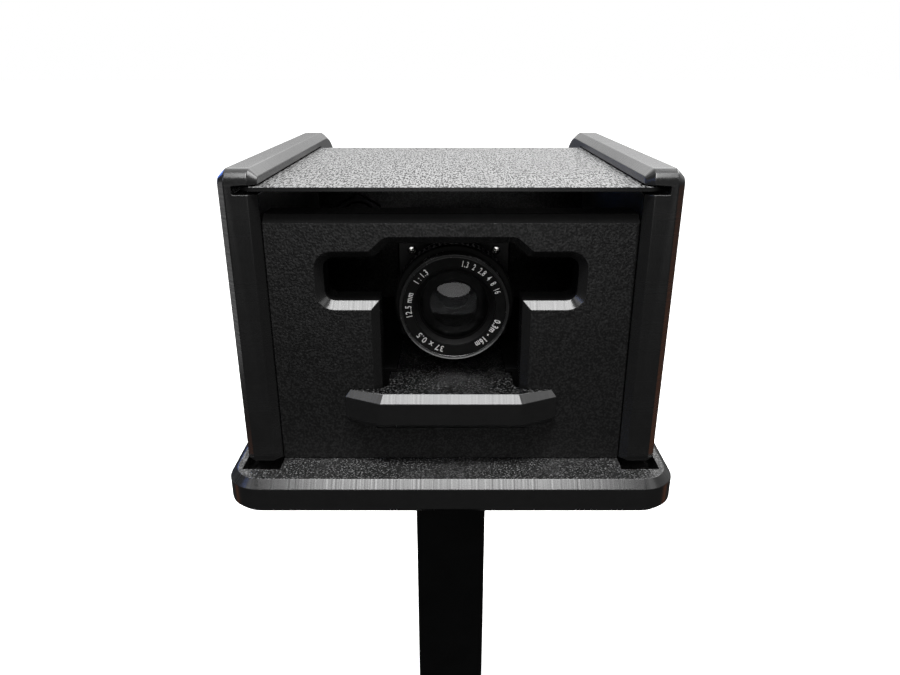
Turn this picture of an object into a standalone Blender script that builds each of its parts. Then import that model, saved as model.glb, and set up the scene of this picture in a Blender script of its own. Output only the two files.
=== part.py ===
"""A small television camera with a C-mount lens, in a housing of plastic sheet on a square post.

Run with: blender --background --python part.py
Units are metres, +Z is up, and the lens looks along -Y. The origin is on the floor under the middle of
the base plate. The housing's parts are placed from the deck: the base plate's top face, at the front
faces of the two side walls.
"""

import math

import bmesh
import bpy
from mathutils import Matrix, Vector

MM = 0.001
GAP = 0.3 * MM

# Sheet stock and the housing
SHEET = 12.7 * MM
CHAMFER = 2.7 * MM
UNDER_CHAMFER = 2.2 * MM
WALL_OUTER_X = 73.5 * MM
WALL_DEPTH = 171.0 * MM
WALL_HEIGHT = 103.3 * MM
WALL_FRONT_RADIUS = 5.0 * MM
WALL_REAR_RADIUS = 38.0 * MM
MORTISE_DEPTH = 6.0 * MM
MORTISE_AHEAD = 4.8 * MM
TENON_SET_BACK = 12.0 * MM
WALL_INNER_X = WALL_OUTER_X - SHEET

BASE_HALF_WIDTH = 78.8 * MM
BASE_OVERHANG = 14.0 * MM
BASE_CORNER = 12.7 * MM

PANEL_HEIGHT = 88.8 * MM
PANEL_SET_BACK = 2.4 * MM
REAR_PANEL_Y = 102.6 * MM
PANEL_HALF_WIDTH = WALL_INNER_X - GAP

LID_THICKNESS = 1.5 * MM
LID_HALF_WIDTH = 66.8 * MM
LID_FRONT_Y = 0.4 * MM
LID_LENGTH = 117.2 * MM
LID_TOP = 97.9 * MM
LID_CORNER = 5.0 * MM
GROOVE_LOW = 95.5 * MM
GROOVE_HIGH = 98.3 * MM
GROOVE_X = 68.4 * MM
GROOVE_END_Y = 119.0 * MM

# The T-shaped window in the front panel, at its narrow inner outline
ARM_HALF_WIDTH = 42.3 * MM
ARM_LOW = 59.5 * MM
ARM_HIGH = 74.2 * MM
ARM_RADIUS = 3.4 * MM
CROWN_HALF_WIDTH = 20.4 * MM
CROWN_HIGH = 79.0 * MM
SHOULDER_RUN = 5.4 * MM
STEM_HALF_WIDTH = 24.1 * MM

# The camera tray
TRAY_TOP = 27.9 * MM
TRAY_LIP_FRONT = -4.7 * MM
TRAY_LIP_HALF_FRONT = 24.2 * MM
TRAY_LIP_HALF_REAR = 37.0 * MM
TRAY_LIP_SIDE_Y = 1.4 * MM
TRAY_NECK_HALF = 22.2 * MM
TRAY_NECK_RADIUS = 4.6 * MM
TRAY_REAR_Y = 101.0 * MM
TRAY_BOTTOM = TRAY_TOP - SHEET

RAIL_OUTER_X = 33.0 * MM
RAIL_HEIGHT = 29.8 * MM
RAIL_SHELF_X = 16.0 * MM
RAIL_LIP_X = 19.8 * MM
RAIL_FRONT_Y = 16.0 * MM
RAIL_REAR_Y = 102.0 * MM

GLAND_X = -42.0 * MM
GLAND_Z = 68.0 * MM
GLAND_BORE = 3.6 * MM
GLAND_TUBE = 7.9 * MM
GLAND_NECK = 6.4 * MM
GLAND_COLLAR = 10.0 * MM
GLAND_CAP = 9.4 * MM
GLAND_NUT_FLATS = 20.0 * MM

WALL_SCREW_REACH = 14.0 * MM
PANEL_SCREW_REACH = 16.0 * MM
PANEL_SCREW_X = 46.0 * MM

# The stand
POST_SIDE = 31.75 * MM
POST_WALL = 2.5 * MM
POST_LENGTH = 290.0 * MM
POST_Y = 69.0 * MM
FLANGE_SIDE = 70.0 * MM
FLANGE_THICKNESS = 5.0 * MM
FLANGE_SCREW = 26.0 * MM
FLANGE_SCREW_REACH = 8.0 * MM
FOOT_SIDE = 156.0 * MM
FOOT_THICKNESS = 8.0 * MM
PAD_RADIUS = 12.0 * MM
PAD_HEIGHT = 4.0 * MM
PAD_INSET = 61.0 * MM
PAD_STEM = 3.0 * MM
PAD_STEM_HEIGHT = 5.0 * MM

# The camera and its lens: x and z of the optical axis, and y of the faces along it
AXIS_X = 1.2 * MM
AXIS_Z = 51.3 * MM
CASE_WIDTH = 44.0 * MM
CASE_HEIGHT = 42.0 * MM
CASE_RADIUS = 2.5 * MM
CASE_WALL = 2.0 * MM
PLATE_Y = 48.0 * MM
PLATE_THICKNESS = 4.0 * MM
CASE_Y = PLATE_Y + PLATE_THICKNESS + GAP
CASE_LENGTH = 34.0 * MM
BACK_Y = CASE_Y + CASE_LENGTH + GAP
BACK_THICKNESS = 3.0 * MM
MOUNT_RADIUS = 12.7 * MM
FLANGE_FOCAL = 17.526 * MM
LENS_FRONT_Y = 20.7 * MM
SCREW_X = 16.3 * MM
SCREW_Z = 15.0 * MM
TRAY_SCREW_HEAD = 5.2 * MM
TRAY_SCREW_SHANK = 3.0 * MM
TRAY_SCREW_SEAT = TRAY_BOTTOM + 5.5 * MM

BLADES = 6
BLADE_PIVOT_R = 8.2 * MM
BLADE_INNER_R = 6.6 * MM
BLADE_OUTER_R = 9.8 * MM
BLADE_ARC = math.radians(92)
BLADE_THICKNESS = 0.3 * MM
BLADE_PITCH = 0.65 * MM
BLADE_FIRST_Y = 37.6 * MM

# Heights from the floor up to the deck
FOOT_Z = PAD_HEIGHT + GAP
POST_Z = FOOT_Z + FOOT_THICKNESS + GAP
FLANGE_Z = POST_Z + POST_LENGTH + GAP
DECK_Z = FLANGE_Z + FLANGE_THICKNESS + GAP + SHEET
FRONT_Y = -WALL_DEPTH / 2

ARC_ERROR = 0.06 * MM
ROUND = 32
ROUND_SMALL = 10


# Outlines: a corner is (u, v, radius), and corners run counter-clockwise


def edge_directions(corners, i):
    here = Vector(corners[i][:2])
    before = Vector(corners[i - 1][:2])
    after = Vector(corners[(i + 1) % len(corners)][:2])
    return (here - before).normalized(), (after - here).normalized()


def turn_at(corners, i):
    """The signed turn of the outline at a corner; positive where the corner is convex."""
    a, b = edge_directions(corners, i)
    return math.atan2(a.x * b.y - a.y * b.x, a.dot(b))


def grown(corners, distance):
    """The same outline with every edge moved outwards."""
    out = []
    for i, (u, v, radius) in enumerate(corners):
        a, b = edge_directions(corners, i)
        n1 = Vector((a.y, -a.x))
        n2 = Vector((b.y, -b.x))
        shift = (n1 + n2) * (distance / (1 + n1.dot(n2)))
        if radius:
            radius = max(radius + distance * math.copysign(1, turn_at(corners, i)), 0.1 * MM)
        out.append((u + shift.x, v + shift.y, radius))
    return out


def arc_counts(corners):
    """How many steps each round corner takes to stay within ARC_ERROR of its true arc."""
    counts = []
    for i, (_, _, radius) in enumerate(corners):
        step = 2 * math.acos(1 - ARC_ERROR / max(radius, 10 * ARC_ERROR))
        counts.append(max(2, math.ceil(abs(turn_at(corners, i)) / step)))
    return counts


def outline(corners, counts):
    """The points of an outline, each round corner as an arc of equal steps."""
    points = []
    for i, (u, v, radius) in enumerate(corners):
        if not radius:
            points.append((u, v))
            continue
        a, b = edge_directions(corners, i)
        turn = turn_at(corners, i)
        start = Vector((u, v)) - a * radius * math.tan(abs(turn) / 2)
        centre = start + Vector((-a.y, a.x)) * math.copysign(radius, turn)
        for step in range(counts[i] + 1):
            spin = Matrix.Rotation(turn * step / counts[i], 2)
            point = centre + spin @ (start - centre)
            points.append((point.x, point.y))
    return points


def rectangle(u0, u1, v0, v1, radius=0.0):
    return [(u0, v0, radius), (u1, v0, radius), (u1, v1, radius), (u0, v1, radius)]


def mirrored(half):
    """A closed outline from its right-hand half, which starts low at u > 0 and ends high."""
    return half + [(-u, v, radius) for u, v, radius in reversed(half)]


# Solids


def to_3d(axis, u, v, w):
    return {"X": (w, u, v), "Y": (u, w, v), "Z": (u, v, w)}[axis]


def material(name, colour, roughness, metallic):
    made = bpy.data.materials.new(name)
    made.use_nodes = True
    shader = made.node_tree.nodes["Principled BSDF"]
    shader.inputs["Base Color"].default_value = (*colour, 1)
    shader.inputs["Roughness"].default_value = roughness
    shader.inputs["Metallic"].default_value = metallic
    made.diffuse_color = (*colour, 1)
    return made


def add(name, bm, finish, parent, location=(0, 0, 0), smooth=False):
    bmesh.ops.recalc_face_normals(bm, faces=bm.faces)
    mesh = bpy.data.meshes.new(name)
    bm.to_mesh(mesh)
    bm.free()
    if smooth:
        mesh.shade_smooth()
        mesh.set_sharp_from_angle(angle=math.radians(30))
    if finish:
        mesh.materials.append(finish)
    obj = bpy.data.objects.new(name, mesh)
    bpy.context.scene.collection.objects.link(obj)
    obj.parent = parent
    obj.location = location
    return obj


def empty(name, parent, location):
    obj = bpy.data.objects.new(name, None)
    bpy.context.scene.collection.objects.link(obj)
    obj.parent = parent
    obj.location = location
    return obj


def lofted(axis, levels):
    """A closed solid through outlines, each (w, corners); the second sets the arcs' steps."""
    bm = bmesh.new()
    counts = arc_counts(levels[1][1])
    rings = [
        [bm.verts.new(to_3d(axis, u, v, w)) for u, v in outline(corners, counts)]
        for w, corners in levels
    ]
    for low, high in zip(rings, rings[1:]):
        for i in range(len(low)):
            bm.faces.new((low[i - 1], low[i], high[i], high[i - 1]))
    bm.faces.new(rings[0])
    bm.faces.new(rings[-1])
    return bm


def plate(axis, corners, start, thickness, near=0.0, far=0.0):
    """A flat plate whose edges are chamfered on the near face, the far face or both."""
    end = start + thickness
    levels = [(start + near, corners), (end - far, corners)]
    if near:
        levels.insert(0, (start, grown(corners, -near)))
    if far:
        levels.append((end, grown(corners, -far)))
    return lofted(axis, levels)


def turned(profile, sides=ROUND):
    """A round solid about local Z from a closed profile of (radius, height)."""
    bm = bmesh.new()
    verts = [bm.verts.new((radius, 0, height)) for radius, height in profile]
    edges = [bm.edges.new((verts[i - 1], verts[i])) for i in range(len(verts))]
    on_axis = [e for e in edges if all(abs(v.co.x) < 1e-9 for v in e.verts)]
    bmesh.ops.delete(bm, geom=on_axis, context="EDGES_FACES")
    live = [v for v in bm.verts] + [e for e in bm.edges]
    bmesh.ops.spin(bm, geom=live, cent=(0, 0, 0), axis=(0, 0, 1), dvec=(0, 0, 0),
                   angle=math.tau, steps=sides, use_merge=True)
    bmesh.ops.remove_doubles(bm, verts=bm.verts, dist=1e-7)
    return bm


def along_y(obj):
    """Turns a round part so that its heights run along +Y."""
    obj.rotation_euler = (-math.pi / 2, 0, 0)
    return obj


def cut(obj, bm, along=False, location=(0, 0, 0)):
    """Cuts a shape out of obj with a hidden cutter that is placed like it."""
    number = len(obj.modifiers) + 1
    cutter = add(f"{obj.name}_cutter_{number}", bm, None, obj.parent)
    cutter.location = Vector(obj.location) + Vector(location)
    if along:
        along_y(cutter)
    cutter.hide_render = True
    cutter.display_type = "WIRE"
    boolean = obj.modifiers.new(f"cut_{number}", "BOOLEAN")
    boolean.operation = "DIFFERENCE"
    boolean.solver = "EXACT"
    boolean.object = cutter


def box(x0, x1, y0, y1, z0, z1):
    return plate("Z", rectangle(x0, x1, y0, y1), z0, z1 - z0)


def cylinder(radius, low, high, sides=ROUND_SMALL):
    return turned([(0, low), (radius, low), (radius, high), (0, high)], sides)


# Fasteners


def countersunk(head, shank, length):
    """A countersunk screw, pointing up, with its head's face at 0."""
    return [(0, 0), (head, 0), (shank, head - shank), (shank, length), (0, length)]


def cap_screw(head, head_height, shank, length):
    """A cap screw, pointing up, with the underside of its head at 0."""
    return [(0, -head_height), (head, -head_height), (head, 0), (shank, 0), (shank, length),
            (0, length)]


def deck_screw(name, x, y, reach, finish, base, held, parent):
    """A countersunk screw that comes up through the base plate into the piece that it holds."""
    head, shank, clearance = 4.0 * MM, 1.9 * MM, 2.2 * MM
    bottom = -SHEET
    length = SHEET + reach
    place = (x, y, bottom)
    add(name, turned(countersunk(head, shank, length), ROUND_SMALL), finish, parent, place, True)
    sink = [(0, -1 * MM), (head + GAP + 1 * MM, -1 * MM), (clearance, head - clearance + GAP),
            (clearance, SHEET + 1 * MM), (0, SHEET + 1 * MM)]
    cut(base, turned(sink, ROUND_SMALL), location=place)
    cut(held, cylinder(clearance, -1 * MM, length + GAP), location=place)


# The housing


def base_plate(finish, parent):
    corners = rectangle(-BASE_HALF_WIDTH, BASE_HALF_WIDTH, -BASE_OVERHANG,
                        WALL_DEPTH + BASE_OVERHANG, BASE_CORNER)
    base = add("base_plate", plate("Z", corners, -SHEET, SHEET, UNDER_CHAMFER, CHAMFER), finish, parent)
    for side in (-1, 1):
        ends = sorted((side * (WALL_INNER_X - GAP), side * (WALL_OUTER_X + GAP)))
        cut(base, box(*ends, -MORTISE_AHEAD, WALL_DEPTH + GAP, -MORTISE_DEPTH, 1 * MM))
    return base


def side_wall(name, side, finish, parent):
    """A wall that stands in the deck on a tenon, which is set back from its front face."""
    low = -MORTISE_DEPTH + GAP
    corners = [(0, low, 0), (WALL_DEPTH, low, 0), (WALL_DEPTH, WALL_HEIGHT, WALL_REAR_RADIUS),
               (0, WALL_HEIGHT, WALL_FRONT_RADIUS)]
    start = min(side * WALL_INNER_X, side * WALL_OUTER_X)
    wall = add(name, plate("X", corners, start, SHEET, CHAMFER, CHAMFER), finish, parent)
    ends = sorted((side * (WALL_INNER_X - 1 * MM), side * GROOVE_X))
    cut(wall, box(*ends, -1 * MM, GROOVE_END_Y, GROOVE_LOW, GROOVE_HIGH))
    ends = sorted((side * (WALL_INNER_X - 1 * MM), side * (WALL_OUTER_X + 1 * MM)))
    cut(wall, box(*ends, -1 * MM, TENON_SET_BACK, low - 1 * MM, GAP))
    return wall


def window_corners():
    stem_low = TRAY_BOTTOM - GAP
    return mirrored([
        (STEM_HALF_WIDTH, stem_low, 0),
        (STEM_HALF_WIDTH, ARM_LOW, 0),
        (ARM_HALF_WIDTH, ARM_LOW, ARM_RADIUS),
        (ARM_HALF_WIDTH, ARM_HIGH, ARM_RADIUS),
        (CROWN_HALF_WIDTH + SHOULDER_RUN, ARM_HIGH, 4.0 * MM),
        (CROWN_HALF_WIDTH, CROWN_HIGH, 1.6 * MM),
    ])


def panel(name, front, chamfered_front, finish, parent):
    """An upright panel between the walls, with its top edge chamfered on its outer face."""
    rear = front + SHEET
    drop = PANEL_HEIGHT - CHAMFER
    if chamfered_front:
        corners = [(front, GAP, 0), (rear, GAP, 0), (rear, PANEL_HEIGHT, 0),
                   (front + CHAMFER, PANEL_HEIGHT, 0), (front, drop, 0)]
    else:
        corners = [(front, GAP, 0), (rear, GAP, 0), (rear, drop, 0),
                   (rear - CHAMFER, PANEL_HEIGHT, 0), (front, PANEL_HEIGHT, 0)]
    return add(name, plate("X", corners, -PANEL_HALF_WIDTH, 2 * PANEL_HALF_WIDTH), finish, parent)


def front_panel(finish, parent):
    front = PANEL_SET_BACK
    made = panel("front_panel", front, True, finish, parent)
    window = window_corners()
    flare = CHAMFER + 1 * MM
    cut(made, lofted("Y", [(front - 1 * MM, grown(window, flare)), (front + CHAMFER, window),
                           (front + SHEET + 1 * MM, window)]))
    return made


def rails(finish, parent):
    """Two channels on the deck that carry the tray's edges."""
    slot_x = TRAY_NECK_HALF + GAP
    slot_low, slot_high = TRAY_BOTTOM - GAP, TRAY_TOP + GAP
    for name, side in (("rail_left", -1), ("rail_right", 1)):
        corners = [(RAIL_SHELF_X, GAP, 0), (RAIL_OUTER_X, GAP, 0), (RAIL_OUTER_X, RAIL_HEIGHT, 0),
                   (RAIL_LIP_X, RAIL_HEIGHT, 0), (RAIL_LIP_X, slot_high, 0), (slot_x, slot_high, 0),
                   (slot_x, slot_low, 0), (RAIL_SHELF_X, slot_low, 0)]
        if side < 0:
            corners = [(-u, v, r) for u, v, r in reversed(corners)]
        add(name, plate("Y", corners, RAIL_FRONT_Y, RAIL_REAR_Y - RAIL_FRONT_Y), finish, parent)


def hexagon(flats):
    radius = flats / math.sqrt(3)
    turns = [math.tau * (i + 0.5) / 6 for i in range(6)]
    return [(radius * math.cos(turn), radius * math.sin(turn), 0) for turn in turns]


def cable_gland(rear_panel, finish, parent):
    """A hollow gland through the rear panel, with its cap outside and its nut inside."""
    inner, outer = REAR_PANEL_Y, REAR_PANEL_Y + SHEET
    place = (GLAND_X, 0, GLAND_Z)
    hole = cylinder(GLAND_TUBE + GAP, inner - 1 * MM, outer + 1 * MM, 24)
    cut(rear_panel, hole, along=True, location=place)

    thread_end = inner - 4.4 * MM
    collar_end = outer + 4.0 * MM
    neck_end = outer + 9.0 * MM
    body = [(GLAND_BORE, thread_end), (GLAND_TUBE, thread_end), (GLAND_TUBE, outer + GAP),
            (GLAND_COLLAR, outer + GAP), (GLAND_COLLAR, collar_end), (GLAND_NECK, collar_end),
            (GLAND_NECK, neck_end), (GLAND_BORE, neck_end)]
    along_y(add("cable_gland", turned(body, 24), finish, parent, place, True))

    cap_end = outer + 14.0 * MM
    cap = [(GLAND_NECK + GAP, collar_end + GAP), (GLAND_CAP, collar_end + GAP),
           (GLAND_CAP, cap_end - 4.0 * MM), (GLAND_NECK, cap_end), (GLAND_BORE, cap_end),
           (GLAND_BORE, neck_end + GAP), (GLAND_NECK + GAP, neck_end + GAP)]
    along_y(add("gland_cap", turned(cap, 24), finish, parent, place, True))

    nut_bm = plate("Y", hexagon(GLAND_NUT_FLATS), inner - 4.0 * MM, 4.0 * MM - GAP)
    nut = add("gland_nut", nut_bm, finish, parent, place)
    cut(nut, cylinder(GLAND_TUBE + GAP, inner - 5.0 * MM, outer, 24), along=True)


def lid(finish, parent):
    corners = rectangle(-LID_HALF_WIDTH, LID_HALF_WIDTH, 0, LID_LENGTH, LID_CORNER)
    add("lid", plate("Z", corners, 0, LID_THICKNESS), finish, parent,
        (0, LID_FRONT_Y, LID_TOP - LID_THICKNESS))


# The stand


def square(half, radius=0.0):
    return rectangle(-half, half, -half, half, radius)


def four_corners(name, inset, y):
    """A numbered name and the x and y of each corner of a square about (0, y)."""
    for number, (sx, sy) in enumerate(((-1, -1), (1, -1), (1, 1), (-1, 1)), 1):
        yield f"{name}_{number}", sx * inset, y + sy * inset


def stand(base, metal, steel, rubber):
    """The square post between its two plates, on four rubber feet."""
    y = FRONT_Y + POST_Y
    half = POST_SIDE / 2
    tube = plate("Z", square(half, 1.5 * MM), 0, POST_LENGTH)
    post = add("post", tube, metal, None, (0, y, POST_Z))
    bore = square(half - POST_WALL)
    cut(post, plate("Z", bore, -1 * MM, POST_LENGTH + 2 * MM))

    top = plate("Z", square(FLANGE_SIDE / 2, 6 * MM), 0, FLANGE_THICKNESS)
    flange = add("post_flange", top, metal, None, (0, y, FLANGE_Z))
    length = FLANGE_THICKNESS + FLANGE_SCREW_REACH
    screw = cap_screw(4.3 * MM, 4.0 * MM, 2.4 * MM, length)
    hole = cylinder(2.7 * MM, -1 * MM, length + GAP + GAP)
    deck = Vector((0, FRONT_Y, DECK_Z))
    for name, x, y_screw in four_corners("flange_screw", FLANGE_SCREW, y):
        place = Vector((x, y_screw, FLANGE_Z))
        head = place - Vector((0, 0, GAP))
        add(name, turned(screw, ROUND_SMALL), steel, None, head, True)
        cut(flange, hole.copy(), location=place - flange.location)
        cut(base, hole.copy(), location=place - deck)
    hole.free()

    bottom = plate("Z", square(FOOT_SIDE / 2, 15 * MM), 0, FOOT_THICKNESS, far=2 * MM)
    foot = add("foot_plate", bottom, metal, None, (0, y, FOOT_Z))
    pad_top = PAD_HEIGHT + PAD_STEM_HEIGHT
    pad = [(0, 0), (PAD_RADIUS - 1 * MM, 0), (PAD_RADIUS, 1 * MM), (PAD_RADIUS, PAD_HEIGHT),
           (PAD_STEM, PAD_HEIGHT), (PAD_STEM, pad_top), (0, pad_top)]
    for name, x, y_pad in four_corners("rubber_foot", PAD_INSET, y):
        place = Vector((x, y_pad, 0))
        add(name, turned(pad, 24), rubber, None, place, True)
        socket = cylinder(PAD_STEM + GAP, -1 * MM, PAD_STEM_HEIGHT + GAP)
        cut(foot, socket, location=(x, y_pad - y, 0))


# The tray and the camera on it


def tray_corners(inset):
    """The tray's outline; only the lip's front and its slanted ends draw back by the inset."""
    rear = PANEL_SET_BACK - GAP
    tip = TRAY_LIP_HALF_REAR - 0.7 * inset
    return mirrored([
        (TRAY_LIP_HALF_FRONT - inset / 3, TRAY_LIP_FRONT + inset, 0),
        (tip, TRAY_LIP_SIDE_Y + inset / 8, 0),
        (tip, rear, 0),
        (TRAY_NECK_HALF, rear, TRAY_NECK_RADIUS),
        (TRAY_NECK_HALF, TRAY_REAR_Y, 0),
    ])


def camera_tray(finish, parent):
    bm = lofted("Z", [
        (TRAY_BOTTOM, tray_corners(UNDER_CHAMFER)),
        (TRAY_BOTTOM + UNDER_CHAMFER, tray_corners(0)),
        (TRAY_TOP - CHAMFER, tray_corners(0)),
        (TRAY_TOP, tray_corners(CHAMFER)),
    ])
    tray = add("camera_tray", bm, finish, parent)

    head = TRAY_SCREW_HEAD + 0.4 * MM
    shank = TRAY_SCREW_SHANK + GAP
    below, above = TRAY_BOTTOM - 1 * MM, TRAY_TOP + 1 * MM
    sink = [(0, below), (head, below), (head, TRAY_SCREW_SEAT), (shank, TRAY_SCREW_SEAT),
            (shank, above), (0, above)]
    cut(tray, turned(sink, 20), location=(AXIS_X, CASE_Y + CASE_LENGTH / 2, 0))


def camera_body(black, steel, board_green, silicon, brass, parent):
    half_w, half_h = CASE_WIDTH / 2, CASE_HEIGHT / 2
    section = rectangle(-half_w, half_w, -half_h, half_h, CASE_RADIUS)
    inside = grown(rectangle(-half_w, half_w, -half_h, half_h), -CASE_WALL)
    place = (AXIS_X, 0, AXIS_Z)

    face = plate("Y", section, PLATE_Y, PLATE_THICKNESS, near=0.6 * MM)
    front = add("camera_front_plate", face, black, parent, place)
    cut(front, cylinder(MOUNT_RADIUS, PLATE_Y - 1 * MM, CASE_Y, 32), along=True)

    case = add("camera_case", plate("Y", section, CASE_Y, CASE_LENGTH), black, parent, place)
    cut(case, plate("Y", inside, CASE_Y - 1 * MM, CASE_LENGTH + 2 * MM))

    shank, head, reach = 0.9 * MM, 1.8 * MM, 3.0 * MM
    screw = [(0, -1.2 * MM), (1.3 * MM, -1.2 * MM), (head, -0.7 * MM), (head, 0), (shank, 0),
             (shank, reach), (0, reach)]
    hole = cylinder(shank + GAP, -1 * MM, reach + GAP, 8)
    for number, (sx, sz) in enumerate(((-1, 1), (1, 1), (1, -1), (-1, -1)), 1):
        spot = Vector((AXIS_X + sx * SCREW_X, PLATE_Y, AXIS_Z + sz * SCREW_Z))
        head_at = spot - Vector((0, GAP, 0))
        along_y(add(f"front_plate_screw_{number}", turned(screw, 12), steel, parent, head_at, True))
        cut(front, hole.copy(), along=True, location=spot - Vector(place))
    hole.free()

    rear_face = BACK_Y + BACK_THICKNESS
    back = add("camera_rear_plate", plate("Y", section, BACK_Y, BACK_THICKNESS, far=0.6 * MM),
               black, parent, place)
    sockets = (("video_connector", -9.0 * MM, 4.8 * MM, 9.0 * MM, 6.5 * MM, brass),
               ("power_connector", 10.0 * MM, 3.4 * MM, 5.0 * MM, 4.2 * MM, black))
    for name, x, radius, length, pin_length, finish in sockets:
        end, pin_end = rear_face + length, rear_face + pin_length
        wall, pin = radius - 1.2 * MM, 0.8 * MM
        socket = [(0, BACK_Y - 1 * MM), (radius, BACK_Y - 1 * MM), (radius, end), (wall, end),
                  (wall, rear_face), (pin, rear_face), (pin, pin_end), (0, pin_end)]
        along_y(add(name, turned(socket, 20), finish, parent, (AXIS_X + x, 0, AXIS_Z), True))
        hole = cylinder(radius + GAP, BACK_Y - 1 * MM, rear_face + 1 * MM, 20)
        cut(back, hole, along=True, location=(x, 0, 0))

    focal = PLATE_Y - GAP + FLANGE_FOCAL
    chip = 1.5 * MM
    board = rectangle(-18 * MM, 18 * MM, -17 * MM, 17 * MM)
    add("image_sensor", plate("Y", rectangle(-7 * MM, 7 * MM, -6 * MM, 6 * MM), focal, chip),
        silicon, parent, place)
    add("sensor_board", plate("Y", board, focal + chip + GAP, 1.6 * MM), board_green, parent, place)

    y = CASE_Y + CASE_LENGTH / 2
    riser_low = TRAY_TOP + GAP
    riser_top = AXIS_Z - half_h - GAP
    block = rectangle(-15 * MM, 15 * MM, -12 * MM, 12 * MM, 2 * MM)
    riser = add("camera_foot", plate("Z", block, riser_low, riser_top - riser_low), black, parent,
                (AXIS_X, y, 0))
    clearance = TRAY_SCREW_SHANK + GAP
    cut(riser, cylinder(clearance, riser_low - 1 * MM, riser_top + 1 * MM, 20))
    seat = TRAY_SCREW_SEAT - GAP
    screw = cap_screw(TRAY_SCREW_HEAD, 4.6 * MM, TRAY_SCREW_SHANK, riser_top + 1.6 * MM - seat)
    add("camera_screw", turned(screw, 20), steel, parent, (AXIS_X, y, seat), True)
    cut(case, cylinder(clearance, -1 * MM, 1.9 * MM + GAP, 20),
        location=(0, y, riser_top + GAP - AXIS_Z))


def lens(metal, glass, steel, ink_ring, parent):
    """The lens as turned parts about its axis; heights are distances behind its front rim."""
    place = (AXIS_X, LENS_FRONT_Y, AXIS_Z)

    def ring(name, profile, finish, sides=ROUND):
        metres = [(radius * MM, height * MM) for radius, height in profile]
        along_y(add(name, turned(metres, sides), finish, parent, place, True))

    to_plate = (PLATE_Y - GAP - LENS_FRONT_Y) / MM
    ring("lens_barrel", [
        (14.9, 9.4), (14.9, 14.0), (21.0, 14.0), (21.0, 15.6), (17.4, 15.6), (17.4, 22.0),
        (20.0, 22.0), (20.0, 23.6), (15.6, 25.4), (15.6, to_plate), (12.4, to_plate),
        (12.4, to_plate + 3.9), (8.5, to_plate + 3.9), (8.5, 21.0), (11.5, 21.0), (11.5, 9.4),
    ], metal)
    ring("rear_glass", [
        (0, 23.2), (5.5, 23.5), (8.2, 24.4), (8.2, 26.4), (5.5, 27.4), (0, 27.8),
    ], glass, 24)
    ring("front_barrel", [
        (19.2, 0.0), (20.0, 0.7), (20.0, 5.8), (17.2, 5.8), (17.2, 12.6), (15.2, 12.6),
        (15.2, 8.4), (12.8, 8.4), (12.8, 6.9), (15.0, 6.9), (15.0, 1.9), (18.9, 1.9), (18.9, 0.3),
    ], metal)
    ring("name_ring", [(15.0, 0.9), (18.6, 0.7), (18.6, 1.6), (15.0, 1.6)], ink_ring)
    ring("retaining_ring", [(13.3, 2.2), (14.4, 1.0), (14.7, 1.0), (14.7, 3.4), (13.3, 3.4)], steel)
    ring("front_glass", [
        (0, 1.9), (4.0, 2.1), (8.0, 2.75), (11.5, 3.7), (12.6, 4.1), (14.6, 4.1),
        (14.6, 6.6), (11.0, 6.6), (6.0, 5.4), (0, 4.9),
    ], glass)
    ring("focus_ring", [
        (17.5, 6.3), (21.3, 6.3), (22.0, 7.0), (22.0, 13.0), (21.3, 13.7), (17.5, 13.7),
    ], metal)
    ring("iris_ring", [
        (17.7, 15.9), (19.8, 15.9), (20.2, 16.3), (20.2, 21.3), (19.8, 21.7), (17.7, 21.7),
    ], metal)


def iris_blades(finish, parent):
    """Crescent blades in a stack, each turning about a pivot near its own end."""
    steps = 8
    back = math.radians(9)
    for number in range(BLADES):
        lead = math.tau * number / BLADES
        pivot = Vector((math.cos(lead), math.sin(lead))) * BLADE_PIVOT_R
        angles = [lead - back + (BLADE_ARC + back) * i / steps for i in range(steps + 1)]
        arc = [(BLADE_OUTER_R, a) for a in angles]
        arc += [(BLADE_INNER_R, a) for a in reversed(angles)]
        corners = [(r * math.cos(a) - pivot.x, r * math.sin(a) - pivot.y, 0) for r, a in arc]
        place = (AXIS_X + pivot.x, BLADE_FIRST_Y + number * BLADE_PITCH, AXIS_Z + pivot.y)
        add(f"iris_blade_{number + 1}", plate("Y", corners, 0, BLADE_THICKNESS), finish, parent, place)


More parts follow.
